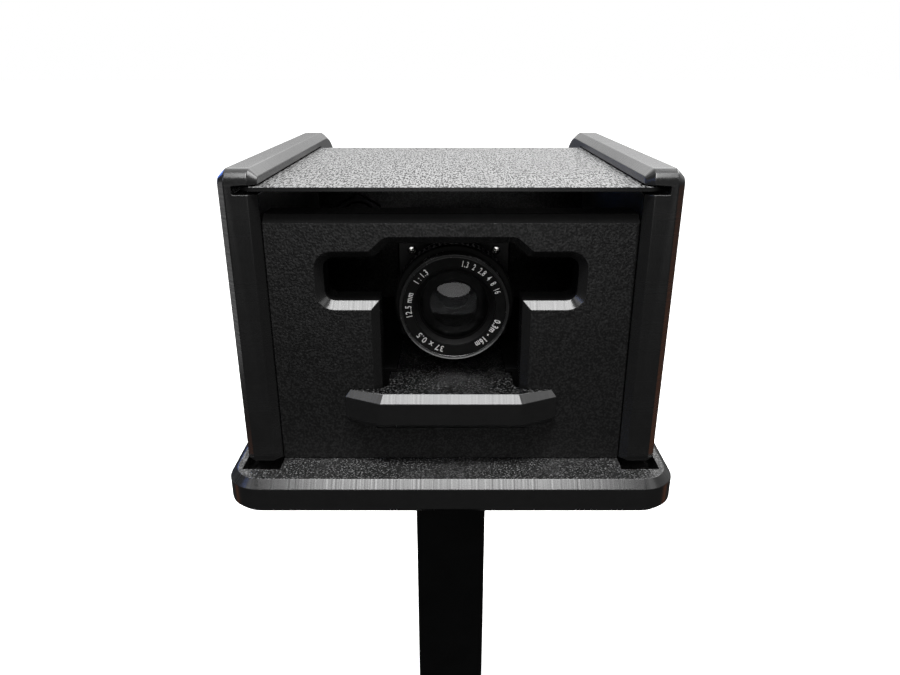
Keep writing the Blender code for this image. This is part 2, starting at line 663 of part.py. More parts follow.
def main():
    for obj in list(bpy.data.objects):
        bpy.data.objects.remove(obj)

    plastic = material("textured_plastic", (0.012, 0.012, 0.013), 0.55, 0.0)
    powder = material("black_powder_coat", (0.006, 0.006, 0.006), 0.6, 0.0)
    anodised = material("black_anodised", (0.008, 0.008, 0.009), 0.35, 0.6)
    ink = material("name_ring_black", (0.006, 0.006, 0.006), 0.45, 0.2)
    glass = material("coated_glass", (0.02, 0.02, 0.03), 0.05, 0.0)
    steel = material("bright_steel", (0.6, 0.6, 0.6), 0.25, 1.0)
    dark_steel = material("blackened_steel", (0.03, 0.03, 0.03), 0.4, 0.9)
    nylon = material("gland_nylon", (0.015, 0.015, 0.015), 0.5, 0.0)
    rubber = material("foot_rubber", (0.01, 0.01, 0.01), 0.8, 0.0)
    board = material("board_green", (0.02, 0.12, 0.05), 0.5, 0.0)
    silicon = material("sensor_silicon", (0.05, 0.05, 0.07), 0.2, 0.3)
    brass = material("connector_brass", (0.7, 0.68, 0.6), 0.3, 1.0)

    housing = empty("housing", None, (0, FRONT_Y, DECK_Z))
    base = base_plate(plastic, housing)
    left = side_wall("side_wall_left", -1, plastic, housing)
    right = side_wall("side_wall_right", 1, plastic, housing)
    front = front_panel(plastic, housing)
    rear = panel("rear_panel", REAR_PANEL_Y, False, plastic, housing)
    rails(plastic, housing)
    cable_gland(rear, nylon, housing)
    lid(plastic, housing)

    wall_x = WALL_OUTER_X - SHEET / 2
    spots = [(left, -wall_x, 0.2), (left, -wall_x, 0.8), (right, wall_x, 0.2), (right, wall_x, 0.8)]
    for number, (wall, x, along) in enumerate(spots, 1):
        deck_screw(f"wall_screw_{number}", x, along * WALL_DEPTH, WALL_SCREW_REACH, dark_steel,
                   base, wall, housing)
    for name, held, start in (("front", front, PANEL_SET_BACK), ("rear", rear, REAR_PANEL_Y)):
        for number, x in enumerate((-PANEL_SCREW_X, PANEL_SCREW_X), 1):
            deck_screw(f"{name}_panel_screw_{number}", x, start + SHEET / 2, PANEL_SCREW_REACH,
                       dark_steel, base, held, housing)

    stand(base, powder, dark_steel, rubber)

    carrier = empty("tray_carrier", housing, (0, 0, 0))
    camera_tray(plastic, carrier)
    camera_body(powder, steel, board, silicon, brass, carrier)
    lens(anodised, glass, steel, ink, carrier)
    iris_blades(dark_steel, carrier)


main()
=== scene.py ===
"""The visual model of a small television camera in a sheet-plastic housing on a square post.

Lengths are in metres unless a comment says millimetres, +Z is up and the lens looks along -Y.
"""

import math

import bmesh
import bpy
from mathutils import Matrix, Vector


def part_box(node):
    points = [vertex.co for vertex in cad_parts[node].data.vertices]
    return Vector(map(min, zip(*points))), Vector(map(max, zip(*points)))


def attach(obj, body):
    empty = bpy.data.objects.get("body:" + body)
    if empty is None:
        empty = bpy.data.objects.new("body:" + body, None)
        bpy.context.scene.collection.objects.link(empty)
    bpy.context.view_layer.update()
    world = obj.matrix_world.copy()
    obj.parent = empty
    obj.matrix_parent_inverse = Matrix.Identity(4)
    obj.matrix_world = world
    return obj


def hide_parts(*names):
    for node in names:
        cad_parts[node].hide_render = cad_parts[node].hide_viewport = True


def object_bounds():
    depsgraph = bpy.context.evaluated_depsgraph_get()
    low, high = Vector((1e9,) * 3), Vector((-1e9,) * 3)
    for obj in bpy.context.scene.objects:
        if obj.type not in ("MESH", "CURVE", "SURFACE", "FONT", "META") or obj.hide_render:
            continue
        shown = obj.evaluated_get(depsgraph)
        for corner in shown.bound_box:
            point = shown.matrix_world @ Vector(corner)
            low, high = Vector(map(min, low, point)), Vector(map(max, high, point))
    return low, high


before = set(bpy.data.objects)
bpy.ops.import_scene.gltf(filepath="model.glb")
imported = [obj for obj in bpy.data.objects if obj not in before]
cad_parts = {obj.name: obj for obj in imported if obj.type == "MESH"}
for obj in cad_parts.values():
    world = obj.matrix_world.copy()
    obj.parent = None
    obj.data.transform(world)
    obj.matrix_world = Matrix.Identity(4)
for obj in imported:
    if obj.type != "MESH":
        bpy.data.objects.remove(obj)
CAD_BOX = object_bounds()

MM = 0.001
Y, Z = Vector((0, 1, 0)), Vector((0, 0, 1))

# The deck is the base plate's top face, at the front faces of the two walls
DECK = Vector((0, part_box("side_wall_left")[0].y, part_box("base_plate")[1].z))


def middle(node):
    low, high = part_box(node)
    return (low + high) / 2


# The middle of the lens's front rim, on its axis
RIM = Vector((middle("front_barrel").x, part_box("front_barrel")[0].y, middle("front_barrel").z))


# Materials


class Finish:
    """A material, and short calls for adding nodes to it."""

    def __init__(self, name, **shader):
        self.material = bpy.data.materials.new(name)
        self.material.use_nodes = True
        self.tree = self.material.node_tree
        self.shader = self.tree.nodes["Principled BSDF"]
        for socket, value in shader.items():
            self.set(self.shader, socket.replace("_", " "), value)

    def set(self, node, socket, value):
        if isinstance(value, bpy.types.NodeSocket):
            self.tree.links.new(value, node.inputs[socket])
        else:
            node.inputs[socket].default_value = value

    def add(self, kind, sockets, **settings):
        node = self.tree.nodes.new("ShaderNode" + kind)
        for setting, value in settings.items():
            setattr(node, setting, value)
        for socket, value in sockets.items():
            self.set(node, socket, value)
        return node

    def coordinates(self, stretch=(1, 1, 1)):
        """Object coordinates, scaled along each axis."""
        place = self.add("TexCoord", {}).outputs["Object"]
        return self.add("Mapping", {"Vector": place, "Scale": stretch}).outputs["Vector"]

    def noise(self, vector, scale, detail=2.0, roughness=0.5):
        sockets = {"Vector": vector, "Scale": scale, "Detail": detail, "Roughness": roughness}
        return self.add("TexNoise", sockets).outputs["Fac"]

    def noise_1d(self, w, scale, detail=2.0):
        sockets = {"W": w, "Scale": scale, "Detail": detail}
        return self.add("TexNoise", sockets, noise_dimensions="1D").outputs["Fac"]

    def cells(self, vector, scale):
        sockets = {"Vector": vector, "Scale": scale}
        return self.add("TexVoronoi", sockets, feature="SMOOTH_F1").outputs["Distance"]

    def attribute(self, name):
        return self.add("Attribute", {}, attribute_name=name).outputs["Fac"]

    def mapped(self, value, low, high, start=0.3, end=0.7):
        """A value from start to end, brought to low to high."""
        ends = {"From Min": start, "From Max": end, "To Min": low, "To Max": high}
        return self.add("MapRange", {"Value": value, **ends}).outputs["Result"]

    def maths(self, operation, a, b):
        node = self.tree.nodes.new("ShaderNodeMath")
        node.operation = operation
        self.set(node, 0, a)
        self.set(node, 1, b)
        return node.outputs[0]

    def ramp(self, value, *stops):
        node = self.add("ValToRGB", {"Fac": value})
        elements = node.color_ramp.elements
        while len(elements) < len(stops):
            elements.new(0.5)
        for element, (position, colour) in zip(elements, stops):
            element.position = position
            element.color = (*colour, 1)
        return node.outputs["Color"]

    def bump(self, height, distance, strength=1.0, normal=None):
        sockets = {"Height": height, "Distance": distance, "Strength": strength}
        if normal:
            sockets["Normal"] = normal
        return self.add("Bump", sockets).outputs["Normal"]

    def shade(self, **sockets):
        for socket, value in sockets.items():
            self.set(self.shader, socket.replace("_", " "), value)
        return self.material


def grey(level):
    return (level, level, level)


def sheet_texture(name, tones, specular, rough, relief, grain, stretch=1.0):
    """The orange-peel skin that the plastic sheet is rolled with; its paler peaks are painted
    glints and sheen.

    tones are (noise level, grey) stops, specular its range over them, and relief is in millimetres.
    """
    f = Finish(name, Specular_IOR_Level=sum(specular) / 2)
    place = f.coordinates((1, stretch, 1))
    peaks = f.noise(place, grain, 1.0)
    hollows = f.cells(place, grain * 0.7)
    height = f.maths("SUBTRACT", peaks, f.maths("MULTIPLY", hollows, 0.3))
    drift = f.noise(place, 38, 3.0)
    return f.shade(
        # The peaks' paler colour is painted glints and sheen of the lamps on the skin's bumps
        Base_Color=f.ramp(peaks, *((position, grey(tone)) for position, tone in tones)),
        Roughness=f.mapped(drift, rough, rough + 0.08),
        Specular_IOR_Level=f.mapped(peaks, *specular, tones[0][0], tones[-1][0]),
        Normal=f.bump(height, relief * MM),
    )


def machined_plastic(name, tone, rough_low, rough_high, specular):
    """The same plastic where it was sawn or milled, with cutter marks across the edge.

    mark_edges writes the two attributes: how far along the edge, and how deep the marks are.
    """
    f = Finish(name, Specular_IOR_Level=specular)
    run = f.attribute("run")
    place = f.coordinates()
    strokes = f.maths("SUBTRACT", f.noise_1d(run, 1300, 2.5), 0.5)
    marks = f.maths("MULTIPLY", strokes, f.attribute("marked"))
    deepest = 0.2
    chatter = f.noise_1d(run, 80, 1.0)
    scuffs = f.noise(place, 300, 4.0, 0.6)
    worn = f.maths("ADD", f.maths("MULTIPLY", marks, 0.5), f.maths("MULTIPLY", scuffs, 0.5))
    colour = f.ramp(worn, (0.1, grey(tone * 0.85)), (0.4, grey(tone * 1.15)))
    marked_rough = f.mapped(marks, rough_low, rough_high, -deepest, deepest)
    fine = f.bump(marks, 0.008 * MM, 0.5)
    return f.shade(
        Base_Color=colour,
        Roughness=f.maths("ADD", marked_rough, f.mapped(chatter, -0.025, 0.025)),
        Specular_IOR_Level=f.mapped(marks, specular * 1.5, specular * 0.5, -deepest, deepest),
        Normal=f.bump(f.noise(place, 1800, 2.0), 0.006 * MM, 0.6, fine),
    )


def powder_coat():
    f = Finish("powder_coat", Specular_IOR_Level=0.2)
    place = f.coordinates()
    colour = f.ramp(f.noise(place, 60, 4.0), (0.3, grey(0.0012)), (0.7, grey(0.0025)))
    relief = f.maths("ADD", f.noise(place, 2200, 2.0), f.noise(place, 700, 1.0))
    return f.shade(
        Base_Color=colour,
        Roughness=f.mapped(f.noise(place, 140, 3.0), 0.48, 0.62),
        Normal=f.bump(relief, 0.03 * MM, 0.8),
    )


def camera_paint():
    """The baked crackle paint of the camera's case."""
    f = Finish("camera_crackle_paint", Specular_IOR_Level=0.35)
    place = f.coordinates()
    crackle = f.cells(place, 1300)
    colour = f.ramp(f.noise(place, 220, 4.0), (0.3, grey(0.0015)), (0.7, grey(0.003)))
    return f.shade(
        Base_Color=colour,
        Roughness=f.mapped(f.noise(place, 90, 3.0), 0.38, 0.5),
        Normal=f.bump(crackle, 0.05 * MM, 0.7),
    )


def anodised(name, low, high, rough_low, rough_high, specular=0.6, ior=1.5):
    """Black anodised aluminium, turned on a lathe about the lens axis."""
    f = Finish(name, Specular_IOR_Level=specular, IOR=ior)
    place = f.coordinates()
    spot = f.add("TexCoord", {}).outputs["Object"]
    centred = f.add("VectorMath", {0: spot, 1: (RIM.x, 0, RIM.z)}, operation="SUBTRACT").outputs[0]
    flat = f.add("VectorMath", {0: centred, 1: (1, 0, 1)}, operation="MULTIPLY").outputs[0]
    radius = f.add("VectorMath", {0: flat}, operation="LENGTH").outputs["Value"]
    depth = f.add("SeparateXYZ", {"Vector": spot}).outputs["Y"]
    turning = f.noise_1d(f.maths("ADD", radius, depth), 5200, 2.0)
    wear = f.noise(place, 420, 4.0, 0.6)
    colour = f.ramp(wear, (0.35, grey(low)), (0.65, grey(high)))
    return f.shade(
        Base_Color=colour,
        Roughness=f.mapped(wear, rough_low, rough_high),
        Normal=f.bump(turning, 0.008 * MM, 0.5),
    )


def bare_metal(name, dark, light, rough_low, rough_high, scale=900):
    f = Finish(name, Metallic=1.0)
    place = f.coordinates()
    wear = f.noise(place, scale, 4.0, 0.6)
    return f.shade(
        Base_Color=f.ramp(wear, (0.3, dark), (0.7, light)),
        Roughness=f.mapped(f.noise(place, scale / 3, 3.0), rough_low, rough_high),
        Normal=f.bump(wear, 0.01 * MM, 0.5),
    )


def moulded(name, dark, light, rough_low, rough_high, relief=0.02):
    """A moulded plastic or rubber with a fine matt skin."""
    f = Finish(name, Specular_IOR_Level=0.4)
    place = f.coordinates()
    return f.shade(
        Base_Color=f.ramp(f.noise(place, 180, 4.0), (0.3, dark), (0.7, light)),
        Roughness=f.mapped(f.noise(place, 300, 3.0), rough_low, rough_high),
        Normal=f.bump(f.noise(place, 2600, 2.0), relief * MM, 0.7),
    )


def ink():
    f = Finish("engraved_white", Specular_IOR_Level=0.3)
    place = f.coordinates()
    return f.shade(
        Base_Color=f.ramp(f.noise(place, 2400, 3.0), (0.35, grey(0.6)), (0.6, grey(0.85))),
        Roughness=f.mapped(f.noise(place, 1500, 2.0), 0.5, 0.7),
        Normal=f.bump(f.noise(place, 5000, 2.0), 0.01 * MM, 0.4),
    )


def coated_glass():
    f = Finish("coated_glass", Transmission_Weight=1.0, IOR=1.52)
    place = f.coordinates()
    dust_and_shade = f.noise(place, 1600, 4.0, 0.7)
    return f.shade(
        # The glass's dark grey tint is painted shade on what is seen through it; dust varies it
        # slightly
        Base_Color=f.ramp(dust_and_shade, (0.4, (0.1, 0.103, 0.106)), (0.8, (0.14, 0.143, 0.146))),
        Roughness=0.0,
    )


def circuit_board():
    f = Finish("circuit_board", Specular_IOR_Level=0.5)
    place = f.coordinates()
    upright = f.add("Mapping", {"Vector": place, "Rotation": (math.pi / 2, 0, 0)}).outputs["Vector"]
    brick = {"Vector": upright, "Scale": 240.0, "Mortar Size": 0.02}
    tracks = f.add("TexBrick", brick).outputs["Fac"]
    colour = f.ramp(tracks, (0.2, (0.008, 0.06, 0.026)), (0.8, (0.02, 0.13, 0.05)))
    return f.shade(
        Base_Color=colour,
        Roughness=f.mapped(f.noise(place, 400, 3.0), 0.35, 0.5),
        Normal=f.bump(tracks, 0.03 * MM, 0.6),
    )


# Each skin's palest stops are painted glints and sheen, and on the lid a painted speckled
# reflection of the bright surroundings
SKIN = sheet_texture(
    "textured_skin", ((0.42, 0.003), (0.66, 0.009)), (0.4, 0.6), 0.3, 0.11, 1500)
DECK_SKIN = sheet_texture(
    "deck_skin", ((0.42, 0.005), (0.56, 0.013), (0.74, 0.075)), (0.2, 0.9), 0.22, 0.16, 1800)
# The tray's skin is a darker copy of the deck's: painted shade, with fewer painted glints
TRAY_SKIN = sheet_texture(
    "tray_skin", ((0.45, 0.001), (0.56, 0.002), (0.7, 0.05)), (0.1, 0.6), 0.24, 0.12, 1500)
LID_SKIN = sheet_texture(
    "lid_skin", ((0.42, 0.005), (0.58, 0.13)), (0.05, 0.9), 0.22, 0.16, 1800, 0.22)
CUT = machined_plastic("machined_edge", 0.0065, 0.17, 0.3, 0.5)
# A darker, duller copy of the cut finish: painted shade on edges that lie in shade
SHADE_CUT = machined_plastic("painted_shade_edge", 0.003, 0.5, 0.6, 0.02)
POWDER = powder_coat()
PAINT = camera_paint()
LENS_BLACK = anodised("lens_anodised", 0.003, 0.006, 0.26, 0.38)
RIM_BLACK = anodised("rim_anodised", 0.003, 0.006, 0.2, 0.28, 1.0, 1.8)
RING_BLACK = anodised("name_ring_anodised", 0.003, 0.005, 0.45, 0.55, 0.15)
BAFFLE = anodised("baffle_flat_black", 0.001, 0.002, 0.6, 0.75, 0.3)
BRIGHT = bare_metal("bright_steel", (0.62, 0.61, 0.59), (0.85, 0.84, 0.82), 0.08, 0.16)
DARK = bare_metal("blackened_steel", grey(0.02), grey(0.05), 0.3, 0.5)
NICKEL = bare_metal("nickel_plate", (0.48, 0.46, 0.42), (0.62, 0.6, 0.55), 0.2, 0.34)
BLADE = bare_metal("blade_steel", grey(0.03), grey(0.07), 0.3, 0.45, 1500)
NYLON = moulded("gland_nylon", grey(0.008), grey(0.014), 0.38, 0.5)
RUBBER = moulded("black_rubber", grey(0.010), grey(0.017), 0.65, 0.85, 0.04)
WHITE = ink()
GLASS = coated_glass()
BOARD = circuit_board()
SILICON = moulded("sensor_silicon", (0.03, 0.035, 0.05), (0.07, 0.06, 0.09), 0.12, 0.22, 0.005)
CHIP = moulded("chip_epoxy", grey(0.012), grey(0.02), 0.45, 0.6)


# Pieces

SAME_POINT = 0.002 * MM
FLAT_WITHIN = math.radians(0.5)


def piece(name, bm, finishes, body, nodes=(), smooth=40.0):
    """A finished piece that rides on a body and stands for the CAD nodes that it names.

    Edges under smooth degrees are shaded round.
    """
    mesh = bpy.data.meshes.new(name)
    bm.normal_update()
    for edge in bm.edges:
        edge.smooth = edge.smooth and edge.calc_face_angle(math.pi) < math.radians(smooth)
    bm.to_mesh(mesh)
    bm.free()
    mesh.shade_smooth()
    for finish in finishes:
        mesh.materials.append(finish)
    obj = bpy.data.objects.new(name, mesh)
    bpy.context.scene.collection.objects.link(obj)
    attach(obj, body)
    if nodes:
        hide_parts(*nodes)
    return obj


def softened(obj, width, limit=35.0):
    """Breaks the edges over limit degrees, as any real one is broken."""
    bevel = obj.modifiers.new("broken_edges", "BEVEL")
    bevel.width = width
    bevel.segments = 2
    bevel.limit_method = "ANGLE"
    bevel.angle_limit = math.radians(limit)
    bevel.use_clamp_overlap = False
    bevel.harden_normals = True
    bevel.miter_outer = "MITER_ARC"
    return obj


def cad_shape(node):
    """A CAD node's shape with its split corners joined and its flat faces made whole."""
    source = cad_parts[node].data
    bm = bmesh.new()
    verts = [bm.verts.new(v.co) for v in source.vertices]
    for polygon in source.polygons:
        bm.faces.new([verts[i] for i in polygon.vertices])
    bmesh.ops.remove_doubles(bm, verts=bm.verts, dist=SAME_POINT)
    bmesh.ops.dissolve_limit(bm, angle_limit=FLAT_WITHIN, verts=bm.verts, edges=bm.edges)
    # A slightly twisted facet comes as two triangles, and is one facet with crisp edges here
    halves = [face for face in bm.faces if len(face.verts) == 3]
    whole = bmesh.ops.join_triangles(bm, faces=halves, angle_face_threshold=math.radians(40),
                                     angle_shape_threshold=math.pi)["faces"]
    for edge in {edge for face in whole for edge in face.edges}:
        edge.smooth = False
    bmesh.ops.recalc_face_normals(bm, faces=bm.faces)
    return bm


# The order of a sheet's materials
SKIN_INDEX, CUT_INDEX, SHADE_INDEX = 0, 1, 2


def mark_edges(bm, axis, shade_above, slant_marks, flat_marks):
    """Gives skin to a sheet's two faces, which lie across axis, and a cut finish to the rest.

    Edges above the given level and ledges through an upright sheet are painted shade, others
    machined.
    The run is how far a corner lies along the edge, and marked how deep the cutter marks are.
    """
    run = bm.loops.layers.float.new("run")
    marked = bm.loops.layers.float.new("marked")
    bm.normal_update()
    low = min(v.co[axis] for v in bm.verts)
    high = max(v.co[axis] for v in bm.verts)
    through, beside = Vector((0, 0, 0)), Vector((0, 0, 0))
    through[axis] = beside[(axis + 1) % 3] = 1.0
    for face in bm.faces:
        centre, normal = face.calc_center_median(), face.normal
        outer = min(centre[axis] - low, high - centre[axis]) < 0.05 * MM
        ledge = axis == 1 and abs(normal.y) < 0.1 and normal.z > 0.2
        if outer and abs(normal[axis]) > 0.999:
            face.material_index = SKIN_INDEX
        else:
            # Ledges, and edges above the level, get the painted shade finish
            face.material_index = SHADE_INDEX if ledge or centre.z > shade_above else CUT_INDEX
        along = normal.cross(through)
        along = along.normalized() if along.length >= 0.1 else beside
        slanted = 0.3 < abs(normal.z) < 0.95
        for loop in face.loops:
            loop[run] = loop.vert.co.dot(along)
            loop[marked] = slant_marks if slanted else flat_marks


# From a little below the front panel's top edge's bevel, its edges are painted shade, where the lid
# shades them
PANEL_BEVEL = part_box("front_panel")[1].z - 4 * MM
ALL_SHADE, NO_SHADE = 0.0, 1.0

# Piece, node, body, axis through the sheet, skin, edge radius in mm, and mark_edges' last three
SHEETS = (
    ("housing_base", "base_plate", "housing", 2, DECK_SKIN, 0.2, NO_SHADE, 0.5, 0.05),
    ("housing_wall_left", "side_wall_left", "housing", 0, SKIN, 0.35, NO_SHADE, 0.4, 0.6),
    ("housing_wall_right", "side_wall_right", "housing", 0, SKIN, 0.35, NO_SHADE, 0.4, 0.6),
    ("housing_front", "front_panel", "housing", 1, SKIN, 0.2, PANEL_BEVEL, 0.25, 0.2),
    ("housing_rear", "rear_panel", "housing", 1, SKIN, 0.2, NO_SHADE, 0.25, 0.2),
    ("housing_lid", "lid", "lid", 2, LID_SKIN, 0.2, NO_SHADE, 0.3, 0.3),
    ("pull_out_tray", "camera_tray", "tray", 2, TRAY_SKIN, 0.2, NO_SHADE, 0.2, 0.05),
    # The rails' cut edges are all painted shade, inside the housing
    ("tray_rail_left", "rail_left", "housing", 0, SKIN, 0.2, ALL_SHADE, 0.3, 0.3),
    ("tray_rail_right", "rail_right", "housing", 0, SKIN, 0.2, ALL_SHADE, 0.3, 0.3),
)
# The facets of a sheet's rounded corners meet at less than this many degrees
SHEET_FACET = 24.0

for name, node, body, axis, skin, edge, shade_above, slant_marks, flat_marks in SHEETS:
    shape = cad_shape(node)
    mark_edges(shape, axis, shade_above, slant_marks, flat_marks)
    sheet = piece(name, shape, (skin, CUT, SHADE_CUT), body, [node], SHEET_FACET)
    softened(sheet, edge * MM, limit=SHEET_FACET)

# Piece, node, body, finish, slot, edge radius in mm
COATED = (
    ("stand_post", "post", "housing", POWDER, "powder_coat", 0.3),
    ("stand_flange", "post_flange", "housing", POWDER, "powder_coat", 0.4),
    ("stand_foot_plate", "foot_plate", "housing", POWDER, "powder_coat", 0.4),
    ("camera_shell", "camera_case", "tray", PAINT, "camera_paint", 0.25),
    ("camera_face", "camera_front_plate", "tray", PAINT, "camera_paint", 0.2),
    ("camera_back", "camera_rear_plate", "tray", PAINT, "camera_paint", 0.2),
    ("camera_riser", "camera_foot", "tray", PAINT, "camera_paint", 0.3),
    ("gland_locknut", "gland_nut", "housing", NYLON, "gland_nylon", 0.3),
)
for name, node, body, finish, slot, edge in COATED:
    softened(piece(name, cad_shape(node), (finish,), body, [node]), edge * MM)


# Round parts: a closed profile of (radius, depth) in millimetres about an axis


def lathe(profile, sides, origin, ahead, ripple=None):
    """A turned solid about ahead; ripple(turn, radius, depth) adds to a radius, turn in 0 to 1."""
    bm = bmesh.new()
    side = ahead.orthogonal().normalized()
    other = ahead.cross(side)
    rings = []
    for radius, depth in profile:
        if radius == 0:
            rings.append([bm.verts.new(origin + ahead * depth * MM)] * sides)
            continue
        ring = []
        for i in range(sides):
            turn = i / sides
            wide = (radius + (ripple(turn, radius, depth) if ripple else 0)) * MM
            spoke = side * math.cos(math.tau * turn) + other * math.sin(math.tau * turn)
            ring.append(bm.verts.new(origin + ahead * depth * MM + spoke * wide))
        rings.append(ring)
    for here, there in zip(rings, rings[1:] + rings[:1]):
        if here[0] is here[1] and there[0] is there[1]:
            continue
        for i in range(sides):
            corners = [here[i - 1], here[i], there[i], there[i - 1]]
            whole = [v for n, v in enumerate(corners) if v is not corners[n - 1]]
            bm.faces.new(whole)
    bmesh.ops.recalc_face_normals(bm, faces=bm.faces)
    return bm


def arc_points(radius_a, depth_a, radius_b, depth_b, sag, steps):
    """Points from a to b on a shallow curve, for a lens surface."""
    out = []
    for i in range(steps + 1):
        t = i / steps
        bulge = sag * 4 * t * (1 - t)
        depth = depth_a + (depth_b - depth_a) * t - bulge
        out.append((radius_a + (radius_b - radius_a) * t, depth))
    return out


def ribs(count, height, low, high, outer_only, duty=0.5):
    """Square ribs between two depths, on radii from outer_only up; duty is a rib's share."""
    def ripple(turn, radius, depth):
        if radius < outer_only or not low <= depth <= high:
            return 0.0
        return 0.0 if (turn * count) % 1 < duty else -height
    return ripple


def figure_mesh(body, size, bold=0.0):
    """Raised figures, centred on x, as a bmesh; size and bold are in millimetres."""
    curve = bpy.data.curves.new("figures", "FONT")
    curve.body = body
    curve.size = size * MM
    curve.align_x = "CENTER"
    curve.extrude = 0.02 * MM
    curve.offset = bold * MM
    curve.space_character = 1.18
    curve.resolution_u = 4
    text = bpy.data.objects.new("figures", curve)
    bpy.context.scene.collection.objects.link(text)
    graph = bpy.context.evaluated_depsgraph_get()
    mesh = bpy.data.meshes.new_from_object(text.evaluated_get(graph))
    bm = bmesh.new()
    bm.from_mesh(mesh)
    bpy.data.objects.remove(text)
    bpy.data.curves.remove(curve)
    bpy.data.meshes.remove(mesh)
    bmesh.ops.remove_doubles(bm, verts=bm.verts, dist=1e-6)
    return bm


def joined(parts):
    """Several bmeshes as one."""
    whole = bmesh.new()
    for part in parts:
        mesh = bpy.data.meshes.new("part")
        part.to_mesh(mesh)
        part.free()
        whole.from_mesh(mesh)
        bpy.data.meshes.remove(mesh)
    return whole


HALF_CAPITAL = 0.36  # half the height of a figure, as a share of the font's size
PROUD = 0.02  # millimetres that figures and lines stand above their surface


def ring_figures(body, size, squeeze, radius, degrees, depth_at, bold):
    """Figures round the front of a ring, read clockwise with their tops outwards."""
    bm = figure_mesh(body, size, bold)
    middle_y = size * MM * HALF_CAPITAL
    for v in bm.verts:
        across, up, thick = v.co.x * squeeze, v.co.y - middle_y, v.co.z
        reach = radius * MM + up
        turn = math.radians(degrees) + across / (radius * MM)
        depth = depth_at(reach / MM) * MM - PROUD * MM - thick
        v.co = RIM + Vector((reach * math.sin(turn), depth, reach * math.cos(turn)))
    bmesh.ops.recalc_face_normals(bm, faces=bm.faces)
    return bm


def band_figures(body, radius, degrees, depth, size=1.9):
    """Figures on the outside of a ring, with their tops to the front of the lens."""
    bm = figure_mesh(body, size)
    middle_y = size * MM * HALF_CAPITAL
    for v in bm.verts:
        across, up, thick = v.co.x, v.co.y - middle_y, v.co.z
        reach = radius * MM + PROUD * MM + thick
        turn = math.radians(degrees) + across / (radius * MM)
        v.co = RIM + Vector((reach * math.sin(turn), depth * MM - up, reach * math.cos(turn)))
    bmesh.ops.recalc_face_normals(bm, faces=bm.faces)
    return bm


def band_tick(radius, degrees, depth_low, depth_high, width):
    """A straight engraved line along the axis, on the outside of a ring."""
    bm = bmesh.new()
    half = width / 2 / radius
    outline = ((-half, depth_low), (half, depth_low), (half, depth_high), (-half, depth_high))
    corners = []
    for level in (radius - 0.05, radius + PROUD):
        for side, depth in outline:
            turn = math.radians(degrees) + side
            place = Vector((level * math.sin(turn), depth, level * math.cos(turn))) * MM
            corners.append(bm.verts.new(RIM + place))
    bm.faces.new(corners[:4])
    bm.faces.new(corners[:3:-1])
    for i in range(4):
        following = (i + 1) % 4
        bm.faces.new([corners[i], corners[i + 4], corners[following + 4], corners[following]])
    bmesh.ops.recalc_face_normals(bm, faces=bm.faces)
    return bm


def lens_ring(name, profile, finish, body, nodes=(), sides=160, ripple=None, edge=0.08):
    obj = piece(name, lathe(profile, sides, RIM, Y, ripple), (finish,), body, nodes, 30.0)
    return softened(obj, edge * MM) if edge else obj


lens_ring("lens_front_barrel", [
    (19.85, 0.0), (20.0, 0.15), (20.0, 2.2), (19.75, 2.35), (19.75, 2.75), (20.0, 2.9),
    (20.0, 5.8), (17.2, 5.8), (17.2, 12.6), (15.2, 12.6), (15.2, 8.4), (12.8, 8.4), (12.8, 6.9),
    (15.0, 6.9), (15.0, 1.9), (18.75, 1.9), (18.75, 0.32), (18.9, 0.2),
], RIM_BLACK, "front_group", ["front_barrel"], edge=0.06)

NAME_INNER, NAME_OUTER = (15.0, 1.05), (18.65, 0.75)


def name_depth(radius):
    slope = (NAME_OUTER[1] - NAME_INNER[1]) / (NAME_OUTER[0] - NAME_INNER[0])
    return NAME_INNER[1] + (radius - NAME_INNER[0]) * slope


lens_ring("lens_name_ring", [NAME_INNER, NAME_OUTER, (18.65, 1.6), (15.0, 1.6)],
          RING_BLACK, "front_group", ["name_ring"], edge=0.05)
lens_ring("lens_retaining_ring", [
    (13.3, 3.1), (13.5, 2.9), (14.2, 1.3), (14.6, 1.0), (14.85, 1.05), (14.85, 3.4), (13.3, 3.4),
], BAFFLE, "front_group", ["retaining_ring"], edge=0.03)

# Figures, size, squeeze, degrees from the top, boldness
FIGURES = (
    ("1.3  2  2.8  4  8  16", 3.2, 0.6, 40, 0.03),
    ("0.3m - 16m", 3.3, 0.72, 129, 0.08),
    ("37 x 0.5", 3.2, 0.92, 213, 0.03),
    ("12.5 mm", 3.2, 0.76, 273, 0.03),
    ("1 : 1.3", 3.2, 0.64, 314, 0.03),
)
engraving = joined([
    ring_figures(figures, size, squeeze, 16.75, degrees, name_depth, bold)
    for figures, size, squeeze, degrees, bold in FIGURES
])
piece("lens_name_figures", engraving, (WHITE,), "front_group", smooth=30.0)

front_element = lens_ring("lens_front_element", [
    (0, 1.9), *arc_points(0.9, 1.905, 12.6, 4.1, 0.45, 14), (14.6, 4.8), (14.6, 6.6), (8.8, 6.6),
    *reversed(arc_points(0.9, 4.85, 8.6, 6.2, 0.25, 10)), (0, 4.84),
], GLASS, "front_group", ["front_glass"], 96, edge=0)

# The element's rim and the border of its back are blackened, as on any real one
CLEAR_RADIUS, CLEAR_DEPTH = 8.5, 4.2
front_element.data.materials.append(BAFFLE)
for polygon in front_element.data.polygons:
    corners = [(front_element.data.vertices[i].co - RIM) / MM for i in polygon.vertices]
    outside = min(Vector((corner.x, corner.z)).length for corner in corners) > CLEAR_RADIUS
    if outside and max(corner.y for corner in corners) > CLEAR_DEPTH:
        polygon.material_index = 1

FOCUS_RIBS = 66
lens_ring("lens_focus_ring", [
    (17.5, 6.3), (21.4, 6.3), (22.0, 7.1), (22.0, 7.11), (22.0, 12.9), (22.0, 12.91),
    (21.5, 13.4), (20.9, 13.7), (17.5, 13.7),
], RING_BLACK, "focus_ring", ["focus_ring"], FOCUS_RIBS * 6,
    ribs(FOCUS_RIBS, 0.7, 7.11, 12.9, 21.9), edge=0)

